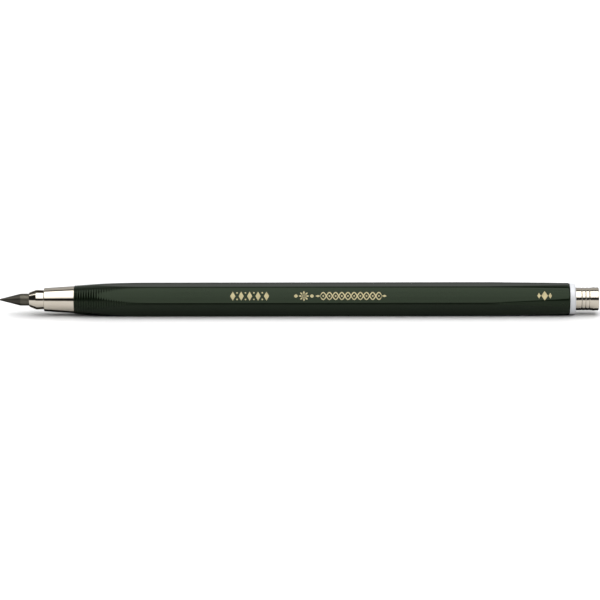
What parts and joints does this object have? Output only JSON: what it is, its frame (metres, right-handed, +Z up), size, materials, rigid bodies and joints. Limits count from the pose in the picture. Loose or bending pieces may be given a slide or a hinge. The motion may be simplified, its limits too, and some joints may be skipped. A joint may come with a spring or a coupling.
{
  "type": "lead holder",
  "caption": "Clutch lead holder with a hexagonal barrel, grooved turned grip, tapered metal nose, jaws on a thick lead and a metal push button.",
  "frame": {"origin": "on the resting surface below the middle of the whole length, lead point to button", "axes": "+X from the lead's point to the push button, +Z up, one flat of the hexagon facing down"},
  "size_m": [0.1562, 0.0092, 0.0081],
  "materials": {
    "barrel_green": "polished dark green lacquer",
    "nickel": "bright nickel plate",
    "brass": "nickel-washed brass, machined",
    "steel": "drawn steel",
    "satin_silver": "fine satin",
    "graphite": "dull graphite with a metallic sheen"
  },
  "bodies": {
    "barrel": {"barrel": "barrel_green", "nose_ferrule": "nickel", "end_ring": "satin_silver", "clutch_spring": "steel"},
    "clutch": {"collet_ring": "brass", "lead_tube": "steel", "spring_collar": "steel"},
    "jaw_1": {"jaw_1": "brass"},
    "jaw_2": {"jaw_2": "brass"},
    "jaw_3": {"jaw_3": "brass"},
    "lead": {"lead": "graphite"},
    "button": {"push_button": "nickel"}
  },
  "joints": [
    {"name": "clutch_push", "type": "slide", "parent": "barrel", "child": "clutch", "axis": [-1, 0, 0], "range_m": [0, 0.004], "stiffness_N_per_m": 600, "springref_m": -0.005, "deforming": ["clutch_spring"]},
    {"name": "jaw_1_open", "type": "hinge", "parent": "clutch", "child": "jaw_1", "pos_m": [-0.05122, -0.00194, 0.00444], "axis": [0, 0.1994, 0.9799], "range_deg": [0, 1.5]},
    {"name": "jaw_2_open", "type": "hinge", "parent": "clutch", "child": "jaw_2", "pos_m": [-0.05122, 0.00063, 0.00217], "axis": [0, -0.9483, -0.3173], "range_deg": [0, 1.5]},
    {"name": "jaw_3_open", "type": "hinge", "parent": "clutch", "child": "jaw_3", "pos_m": [-0.05122, 0.00131, 0.00553], "axis": [0, 0.749, -0.6626], "range_deg": [0, 1.5]},
    {"name": "lead_feed", "type": "slide", "parent": "clutch", "child": "lead", "axis": [-1, 0, 0], "range_m": [-0.02, 0.1]},
    {"name": "button_pull", "type": "slide", "parent": "clutch", "child": "button", "axis": [1, 0, 0], "range_m": [0, 0.006]}
  ],
  "couplings": [
    {"joint": "jaw_1_open", "follows": "clutch_push", "rad_per_m": 6.1087},
    {"joint": "jaw_2_open", "follows": "clutch_push", "rad_per_m": 6.1087},
    {"joint": "jaw_3_open", "follows": "clutch_push", "rad_per_m": 6.1087}
  ]
}
